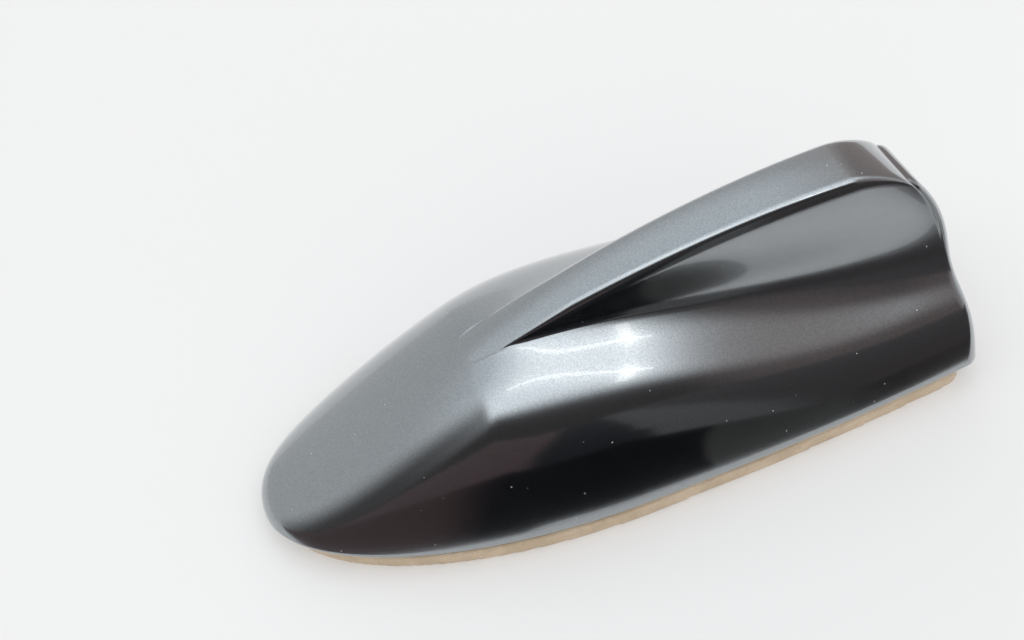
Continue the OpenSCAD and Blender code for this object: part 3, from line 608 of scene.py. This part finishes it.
def corner_ring(columns, angle, share, first, steps):
    """One ring round the tail's corner, or a smaller copy of the last one across the tail's face."""
    cosine, sine = unit(angle)
    ring = []
    for j, (y, z, inset) in enumerate(columns):
        if j <= first:
            outward = np.array([1.0, 0.0])
        elif j == len(columns) - 1:
            outward = np.array([0.0, 1.0])
        else:
            along = columns[j + 1, :2] - columns[j - 1, :2]
            outward = np.array([along[1], -along[0]]) / np.linalg.norm(along)
        r = corner_radius(j, first, steps)
        y = share * max(y - outward[0] * r * (1 - cosine), 0)
        z = z - outward[1] * r * (1 - cosine)
        ring.append([skin_x(1, y, z, inset) + r * sine, y, z])
    return ring


def cover_skin(inset, rounded, steps):
    """The whole outer or inner skin, as rings of points from nose to tail."""
    first = len(RIM_ANGLES) if rounded else 0
    rings = []
    for i in range(STATIONS + 1):
        u = i / STATIONS
        s = max(FIRST_STATION, mix(u, (1 - math.cos(math.pi * u)) / 2, END_BIAS))
        columns = cover_columns(s, inset, rounded, steps)
        rings.append([[skin_x(s, y, z, d), y, z] for y, z, d in columns])
    last = cover_columns(1, inset, rounded, steps)
    rings += [corner_ring(last, angle, 1, first, steps) for angle in CORNER_ANGLES]
    rings += [corner_ring(last, 90, share, first, steps) for share in FACE_SHARES]
    half = np.array(rings)
    whole = np.concatenate([half * [1, -1, 1], half[:, -2::-1]], axis=1)
    return whole + [-NOSE_TO_BOLT, 0, RIM_Z]


def grid_faces(rows, columns, start, flip):
    """The faces between rings of points."""
    i, j = np.meshgrid(np.arange(rows - 1), np.arange(columns - 1), indexing="ij")
    a = start + i * columns + j
    quads = np.stack([a, a + columns, a + columns + 1, a + 1], axis=-1).reshape(-1, 4)
    return quads[:, ::-1] if flip else quads


def strip_faces(columns, start, flip):
    """The faces that close a ring, from one side of it to the other."""
    j = np.arange(columns // 2)
    a = start + j
    b = start + columns - 1 - j
    quads = np.stack([a, a + 1, b - 1, b], axis=-1)
    quads = [list(dict.fromkeys(q)) for q in (quads[:, ::-1] if flip else quads).tolist()]
    return [q for q in quads if len(q) > 2]


def mesh_piece(name, points, faces, shade_smooth=True):
    """A new object from points in millimetres."""
    mesh = bpy.data.meshes.new(name)
    mesh.from_pydata((np.asarray(points) * MM).tolist(), [], [list(f) for f in faces])
    mesh.update()
    if shade_smooth:
        mesh.shade_smooth()
    piece = bpy.data.objects.new(name, mesh)
    bpy.context.scene.collection.objects.link(piece)
    return piece


outer = cover_skin(inset=0, rounded=True, steps=OUTER_STEPS)
inner = cover_skin(inset=WALL, rounded=False, steps=INNER_STEPS)
rows, outer_columns, inner_columns = len(outer), outer.shape[1], inner.shape[1]
inner_start = rows * outer_columns

# The flat land at the rim's foot joins the two skins, and the tips close it at nose and tail
land = []
for row in range(rows - 1):
    a = row * outer_columns
    b = inner_start + row * inner_columns
    land.append([a, a + outer_columns, b + inner_columns, b])
    a += outer_columns - 1
    b += inner_columns - 1
    land.append([a, b, b + inner_columns, a + outer_columns])
last_outer = (rows - 1) * outer_columns
last_inner = inner_start + (rows - 1) * inner_columns
tips = [
    [0, inner_start, inner_start + inner_columns - 1, outer_columns - 1],
    [last_outer, last_outer + outer_columns - 1, last_inner + inner_columns - 1, last_inner],
]
cover = mesh_piece(
    "painted_cover",
    np.concatenate([outer.reshape(-1, 3), inner.reshape(-1, 3)]),
    [
        *grid_faces(rows, outer_columns, 0, flip=False),
        *strip_faces(outer_columns, 0, flip=True),
        *strip_faces(outer_columns, last_outer, flip=False),
        *grid_faces(rows, inner_columns, inner_start, flip=True),
        *strip_faces(inner_columns, inner_start, flip=False),
        *strip_faces(inner_columns, last_inner, flip=True),
        *land,
        *tips,
    ],
)

# Bosses and ribs: their places from the nose, their sizes, and the base's skirt that they stay clear of
BOSS_X = (24, 62, 138)
BOSS_R = 3.3
BOSS_FOOT = 8.05
BOSS_TOP = 17.4
BOSS_HOLE_R = 1.45
BOSS_HOLE_TOP = 16.2
BOSS_CHAMFER = 0.3
BOSS_SIDES = 36
SKIRT_INNER = 4.7
SKIRT_TOP = 11.05
SLIP = 0.15
RIB_T = 1.6
RIB_FOOT = 11.45
RIB_LEVELS = np.linspace(RIB_FOOT, BOSS_TOP, 7)
NOSE_SHARES = np.linspace(0.001, 0.3, 300)
CREASE = math.radians(40)


def half_at(x, inset, z):
    """Half width of the cover, less an inset, at a height and a distance from the nose."""
    line = cover_section((x - inset) / (SKIN_L - 2 * inset), inset, 0, INNER_STEPS)
    return float(np.interp(z - RIM_Z, line[:, 1], line[:, 0]))


def turned(spot, profile):
    """A solid turned round an upright axis from a profile of radii and heights."""
    points, faces = [], []
    for r, z in profile:
        for k in range(BOSS_SIDES):
            cosine, sine = unit(360 * k / BOSS_SIDES)
            points.append([spot[0] + r * cosine, spot[1] + r * sine, z])
    for i in range(len(profile) - 1):
        for k in range(BOSS_SIDES):
            a = i * BOSS_SIDES + k
            b = i * BOSS_SIDES + (k + 1) % BOSS_SIDES
            faces.append([a, b, b + BOSS_SIDES, a + BOSS_SIDES])
    faces.append(list(range(BOSS_SIDES))[::-1])
    faces.append(list(range((len(profile) - 1) * BOSS_SIDES, len(profile) * BOSS_SIDES)))
    return points, faces


def web(line, across):
    """A flat rib with this outline, across to each side of it."""
    n = len(line)
    points = [list(p + across) for p in line] + [list(p - across) for p in line]
    faces = [list(range(n)), list(range(2 * n - 1, n - 1, -1))]
    faces += [[i, i + n, (i + 1) % n + n, (i + 1) % n] for i in range(n)]
    return points, faces


def rib_outline(start, wall):
    """From the boss out to the middle of the wall, up along the wall, and back."""
    return [(start, RIB_LEVELS[0]), *zip(wall, RIB_LEVELS), (start, RIB_LEVELS[-1])]


def nose_rib(x):
    """The rib from the front boss to the nose's wall."""
    heights = [RIM_Z + crest(share, WALL / 2) for share in NOSE_SHARES]
    reached = [float(np.interp(z, heights, NOSE_SHARES)) for z in RIB_LEVELS]
    wall = [WALL / 2 + share * (SKIN_L - WALL) for share in reached]
    line = [np.array([along - NOSE_TO_BOLT, 0, z]) for along, z in rib_outline(x, wall)]
    return web(line, np.array([0, RIB_T / 2, 0]))


def side_rib(x, y):
    """The rib from a side boss to the wall beside it."""
    sign = math.copysign(1, y)
    wall = [half_at(x, WALL / 2, z) for z in RIB_LEVELS]
    line = [np.array([x - NOSE_TO_BOLT, sign * out, z]) for out, z in rib_outline(abs(y), wall)]
    return web(line, np.array([-sign * RIB_T / 2, 0, 0]))


spots = [(BOSS_X[0], 0)]
for x in BOSS_X[1:]:
    side = half_at(x, SKIRT_INNER, SKIRT_TOP) - BOSS_R - 2 * SLIP
    spots += [(x, side), (x, -side)]
boss_profile = [
    (BOSS_HOLE_R, BOSS_HOLE_TOP),
    (BOSS_HOLE_R, BOSS_FOOT + BOSS_CHAMFER),
    (BOSS_HOLE_R + BOSS_CHAMFER, BOSS_FOOT),
    (BOSS_R - BOSS_CHAMFER, BOSS_FOOT),
    (BOSS_R, BOSS_FOOT + BOSS_CHAMFER),
    (BOSS_R, BOSS_TOP),
]
moulded = []
for x, y in spots:
    moulded.append(turned((x - NOSE_TO_BOLT, y), boss_profile))
    moulded.append(side_rib(x, y) if y else nose_rib(x))
shape = bmesh.new()
shape.from_mesh(cover.data)
for points, faces in moulded:
    added = [shape.verts.new(Vector(p) * MM) for p in points]
    solid = [shape.faces.new([added[i] for i in face]) for face in faces]
    bmesh.ops.recalc_face_normals(shape, faces=solid)
    for face in solid:
        face.smooth = True
shape.to_mesh(cover.data)
shape.free()
cover.data.set_sharp_from_angle(angle=CREASE)
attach(cover, "root")
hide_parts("cover")

# Pale specks of dust, in some of the cells
SPECK_CHANCE = (0.68, 0.76)
SPECK_EDGE = (0.07, 0.03)
dust, taken, given = new_group("dust_specks", [("Scale", "Float", 400)], [("Mask", "Float")])
scattered = add(dust, "ShaderNodeTexVoronoi", {"Vector": own_place(dust), "Scale": taken["Scale"]})
drawn = add(dust, "ShaderNodeSeparateColor", {"Color": scattered.outputs["Color"]})
chosen = eased(dust, drawn.outputs["Red"], *SPECK_CHANCE)
speck = eased(dust, scattered.outputs["Distance"], *SPECK_EDGE)
feed(dust, given["Mask"], worked(dust, "MULTIPLY", chosen, speck))

# Metal flakes of two tones in the base coat, a smooth clear coat over them, and dust on top
FLAKE_SCALE = 6000
FLAKE_DARK = (0.265, 0.285, 0.3)
FLAKE_LIGHT = (0.345, 0.37, 0.385)
DUST_SCALE = 360
DUST_COLOUR = (0.7, 0.69, 0.67)
PAINT_ROUGHNESS = 0.16
DUST_ROUGHNESS = 0.9
COAT_ROUGHNESS = 0.03
COAT_IOR = 1.5
paint, tree, shader = new_material("clear_coated_paint")
flakes = add(tree, "ShaderNodeTexVoronoi", {"Vector": own_place(tree), "Scale": FLAKE_SCALE})
pick = add(tree, "ShaderNodeSeparateColor", {"Color": flakes.outputs["Color"]})
base_coat = tint(tree, pick.outputs["Red"], FLAKE_DARK, FLAKE_LIGHT)
specks = placed(tree, dust, Scale=DUST_SCALE)["Mask"]
feed(tree, shader.inputs["Base Color"], tint(tree, specks, base_coat, DUST_COLOUR))
feed(tree, shader.inputs["Metallic"], ranged(tree, specks, 1, 0))
feed(tree, shader.inputs["Roughness"], ranged(tree, specks, PAINT_ROUGHNESS, DUST_ROUGHNESS))
feed(tree, shader.inputs["Coat Weight"], ranged(tree, specks, 1, 0))
shader.inputs["Coat Roughness"].default_value = COAT_ROUGHNESS
shader.inputs["Coat IOR"].default_value = COAT_IOR
cover.data.materials.append(paint)
raw_plastic = finish(
    "raw_moulded_plastic", dark=(0.022, 0.022, 0.024), light=(0.04, 0.04, 0.042), patches=70,
    roughness=(0.42, 0.58), grain_size=0.4, depth=0.02,
)
cover.data.materials.append(raw_plastic)
for polygon in cover.data.polygons:
    if min(polygon.vertices) >= inner_start:
        polygon.material_index = 1

# Seal pad and fin foam
# The pad under the rim is soft cellular rubber, die-cut from a sheet, its skin open at the cut edge.
# The block beside the upright board is open-cell grey foam, pressed in when the cover goes on.
WELD = 0.01 * MM
FLAT_WITHIN = math.radians(1)
SMOOTHING = 0.5
FOAM_PATCHES = 120
FOAM_ROUGHNESS = (0.75, 0.92)
FOAM_SPECULAR = 0.25


def foam_piece(name, node, cell, softening):
    """A soft copy of a CAD solid, remeshed in cells of this many millimetres and relaxed at its edges."""
    shape = bmesh.new()
    shape.from_mesh(nodes[node].data)
    bmesh.ops.remove_doubles(shape, verts=shape.verts, dist=WELD)
    bmesh.ops.dissolve_limit(shape, angle_limit=FLAT_WITHIN, verts=shape.verts, edges=shape.edges)
    mesh = bpy.data.meshes.new(name)
    shape.to_mesh(mesh)
    shape.free()
    piece = bpy.data.objects.new(name, mesh)
    bpy.context.scene.collection.objects.link(piece)
    voxels = piece.modifiers.new("cells", "REMESH")
    voxels.mode = "VOXEL"
    voxels.voxel_size = cell * MM
    voxels.use_smooth_shade = True
    relaxed = piece.modifiers.new("soft_edges", "SMOOTH")
    relaxed.factor = SMOOTHING
    relaxed.iterations = softening
    seen = piece.evaluated_get(bpy.context.evaluated_depsgraph_get())
    finished = bpy.data.meshes.new_from_object(seen)
    piece.modifiers.clear()
    piece.data = finished
    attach(piece, "root")
    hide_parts(node)
    return piece


# The open pores of a cut foam: their hollows, pressed into the surface, and a mask for the painted shade in
# them
PORE_EDGES = (0.1, 0.5)
cells, taken, given = new_group(
    "cut_cells",
    [("Scale", "Float", 1500), ("Depth", "Float", 0.0001)],
    [("Normal", "Vector"), ("Pore", "Float")],
)
pores = add(cells, "ShaderNodeTexVoronoi", {"Vector": own_place(cells), "Scale": taken["Scale"]})
hollow = eased(cells, pores.outputs["Distance"], *PORE_EDGES)
feed(cells, given["Normal"], raised_by(cells, hollow, taken["Depth"]))
feed(cells, given["Pore"], hollow)


def foam_finish(name, dark, light, pore_shade, cell, depth):
    """A mottled foam whose pores are darkened with painted shade in their hollows. The pores' size and depth
    are in millimetres.
    """
    material, tree, shader = new_material(name)
    colours = placed(tree, mottle, Scale=FOAM_PATCHES, Dark=dark, Light=light)
    holes = placed(tree, cells, Scale=1 / (cell * MM), Depth=depth * MM)
    # The pores' darker colour is painted shade in their hollows.
    dress(
        tree, shader,
        colour=tint(tree, holes["Pore"], pore_shade, colours["Colour"]),
        roughness=ranged(tree, colours["Shade"], *FOAM_ROUGHNESS),
        normal=holes["Normal"],
    )
    shader.inputs["Specular IOR Level"].default_value = FOAM_SPECULAR
    return material


pad = foam_piece("cellular_pad", "seal_pad", cell=0.8, softening=2)
pad.data.materials.clear()
pad.data.materials.append(foam_finish(
    "beige_cellular_rubber", dark=(0.62, 0.49, 0.35), light=(0.74, 0.6, 0.45),
    pore_shade=(0.5, 0.38, 0.26), cell=0.3, depth=0.08,
))
foam = foam_piece("fin_foam_block", "fin_foam", cell=0.4, softening=4)
foam.data.materials.clear()
foam.data.materials.append(foam_finish(
    "grey_foam", dark=(0.05, 0.05, 0.052), light=(0.1, 0.1, 0.1),
    pore_shade=(0.02, 0.02, 0.02), cell=0.6, depth=0.25,
))

# Floor
# A wide sheet of pale paper under the antenna, which glows a little for the camera and reflections.
# Beyond its near side a low dark card stands and a tall one leans back, seen only by reflections: they paint
# the dark reflection and its coloured patches on the cover's near wall.
PAPER_HALF = 2000
PAPER_COLOUR = (0.905, 0.89, 0.88)
PAPER_ROUGHNESS = 0.9
PAPER_SPECULAR = 0.1
PAPER_GLOW = 0.055
corners = [[-1, -1, 0], [1, -1, 0], [1, 1, 0], [-1, 1, 0]]
floor = mesh_piece("floor", np.array(corners) * PAPER_HALF, [[0, 1, 2, 3]], shade_smooth=False)
paper, tree, shader = new_material("paper")
shader.inputs["Base Color"].default_value = (*PAPER_COLOUR, 1)
shader.inputs["Roughness"].default_value = PAPER_ROUGHNESS
shader.inputs["Specular IOR Level"].default_value = PAPER_SPECULAR
shader.inputs["Emission Color"].default_value = (1, 1, 1, 1)
rays = add(tree, "ShaderNodeLightPath").outputs
direct = worked(tree, "ADD", rays["Is Camera Ray"], rays["Is Glossy Ray"])
direct = worked(tree, "ADD", direct, rays["Is Transmission Ray"])
feed(tree, shader.inputs["Emission Strength"], ranged(tree, direct, 0, PAPER_GLOW))
floor.data.materials.append(paper)

CARD_X = (-400, -5, 45, 400)
CARD_FOOT = (0.3, 0.3, 0.3, 0.3)
FENCE_Y = -46.5
FENCE_TOP = (24, 24, 10, 10)
LEANING_Y = (-76, -330)
LEANING_TOP = (200, 200, 200, 200)


def card_edge(y, heights):
    return [[x, y, z] for x, z in zip(CARD_X, heights)]


fence = card_edge(FENCE_Y, CARD_FOOT) + card_edge(FENCE_Y, FENCE_TOP)
leaning = card_edge(LEANING_Y[0], CARD_FOOT) + card_edge(LEANING_Y[1], LEANING_TOP)
strips = [[i, i + 1, i + 5, i + 4] for first in (0, 8) for i in range(first, first + 3)]
# Sheets seen only in reflections, which paint a dark room's reflection on the cover's near wall.
card = mesh_piece("painted_reflection_card", fence + leaning, strips, shade_smooth=False)
card.visible_camera = False
card.visible_diffuse = False
card.visible_shadow = False

# The cards' painted reflections are brown at the nose end, then black, then grey, and umber at the tail end.
# Each zone starts and is full at these places along X, in metres.
BROWN_FROM = (-0.038, -0.062)
GREY_FROM = (0.02, 0.023)
GREY_UP_TO = (0.075, 0.055)
UMBER_FROM = (0.055, 0.075)
PAINTED_REFLECTION_BLACK = (0.016, 0.016, 0.02)
PAINTED_REFLECTION_BROWN = (0.13, 0.084, 0.084)
PAINTED_REFLECTION_UMBER = (0.075, 0.062, 0.062)
PAINTED_REFLECTION_GREY = (0.155, 0.15, 0.147)
EDGE_LEAN = -0.2
EDGE_TEAR = 14 * MM
TEAR_SCALE = 60
# The colours of the painted reflection patches that the near wall shows.
painted_reflection_colours, tree, shader = new_material("painted_reflection_colours")
ragged = add(tree, "ShaderNodeTexNoise", {"Vector": own_place(tree), "Scale": TEAR_SCALE}).outputs["Fac"]
on_card = add(tree, "ShaderNodeSeparateXYZ", {"Vector": own_place(tree)}).outputs
leant = worked(tree, "MULTIPLY_ADD", on_card["Z"], EDGE_LEAN, on_card["X"])
across = worked(tree, "MULTIPLY_ADD", ragged, EDGE_TEAR, leant)

colour = tint(tree, eased(tree, across, *BROWN_FROM), PAINTED_REFLECTION_BLACK, PAINTED_REFLECTION_BROWN)
colour = tint(tree, eased(tree, across, *UMBER_FROM), colour, PAINTED_REFLECTION_UMBER)
grey = worked(tree, "MULTIPLY", eased(tree, across, *GREY_FROM), eased(tree, across, *GREY_UP_TO))
feed(tree, shader.inputs["Base Color"], tint(tree, grey, colour, PAINTED_REFLECTION_GREY))
shader.inputs["Roughness"].default_value = 1
card.data.materials.append(painted_reflection_colours)

# Lamps
# Daylight from the far side and from above, and a dark room on the near side.
# A long tube overhead and a small window draw the streak and the spot on the shoulder.
WALLS = (0.75, 0.76, 0.77)
FAR_CEILING = (1.04, 1.1, 1.14)
NEAR_CEILING = (1.85, 1.92, 1.97)
DARK_ROOM = (0.07, 0.064, 0.064)
ROOM_TAIL_END = (0.2, 0.165, 0.16)
ROOM_AS_LIGHT = (0.7, 0.69, 0.68)
BACKDROP = (0.855, 0.855, 0.855)
# Where each starts and is full, as parts of a direction of length 1
CEILING_FROM = (0.55, 0.82)
NEAR_FROM = (0.15, -0.4)
ROOM_FROM = (-0.46, -0.62)
TAIL_END_FROM = (0.45, 0.58)
# Darker parts of the daylight: where each starts and is full along X and along Y, and its colour
SHADED = [
    ((0.2, 0.6), (-0.1, 0.2), (0.62, 0.58, 0.57)),
    ((0.5, 0.75), (-0.1, 0.2), (0.4, 0.35, 0.34)),
    ((0.44, 0.62), (-0.1, -0.4), (0.42, 0.37, 0.36)),
    ((-0.25, -0.85), (0.05, -0.38), (0.1, 0.095, 0.095)),
]
world = bpy.data.worlds.new("room")
bpy.context.scene.world = world
world.use_nodes = True
tree = world.node_tree
direction = add(tree, "ShaderNodeTexCoord").outputs["Generated"]
towards = add(tree, "ShaderNodeSeparateXYZ", {"Vector": direction}).outputs
ceiling = tint(tree, eased(tree, towards["Y"], *NEAR_FROM), FAR_CEILING, NEAR_CEILING)
daylight = tint(tree, eased(tree, towards["Z"], *CEILING_FROM), WALLS, ceiling)
for x_edges, y_edges, colour in SHADED:
    x_mask = eased(tree, towards["X"], *x_edges)
    y_mask = eased(tree, towards["Y"], *y_edges)
    daylight = tint(tree, worked(tree, "MULTIPLY", x_mask, y_mask), daylight, colour)
rays = add(tree, "ShaderNodeLightPath").outputs
room = tint(tree, eased(tree, towards["X"], *TAIL_END_FROM), DARK_ROOM, ROOM_TAIL_END)
room = tint(tree, rays["Is Diffuse Ray"], room, ROOM_AS_LIGHT)
lit = tint(tree, eased(tree, towards["Y"], *ROOM_FROM), daylight, room)
feed(tree, tree.nodes["Background"].inputs["Color"], tint(tree, rays["Is Camera Ray"], lit, BACKDROP))

# The point on the near shoulder that both lamps face
SHOULDER = Vector((25, -22, 38)) * MM


def lamp(name, azimuth, elevation, size, radiance, roll, colour):
    """A flat lamp of this size in metres, one metre from the shoulder and facing it."""
    light = bpy.data.lights.new(name, "AREA")
    light.shape = "RECTANGLE"
    light.size, light.size_y = size
    light.energy = radiance * math.pi * size[0] * size[1]
    light.color = colour
    piece = bpy.data.objects.new(name, light)
    bpy.context.scene.collection.objects.link(piece)
    a, e = math.radians(azimuth), math.radians(elevation)
    away = Vector((math.cos(a) * math.cos(e), math.sin(a) * math.cos(e), math.sin(e)))
    place(piece, SHOULDER + away, *aimed_axes(-away, math.radians(roll)))


lamp("tube", -75.6, 66.4, size=(0.78, 0.012), radiance=4.6, roll=-33.4, colour=(1, 0.97, 0.92))
lamp("window", -54, 54, size=(0.1, 0.055), radiance=2.4, roll=20, colour=(1, 0.96, 0.9))

view = bpy.context.scene.view_settings
view.view_transform = "Standard"
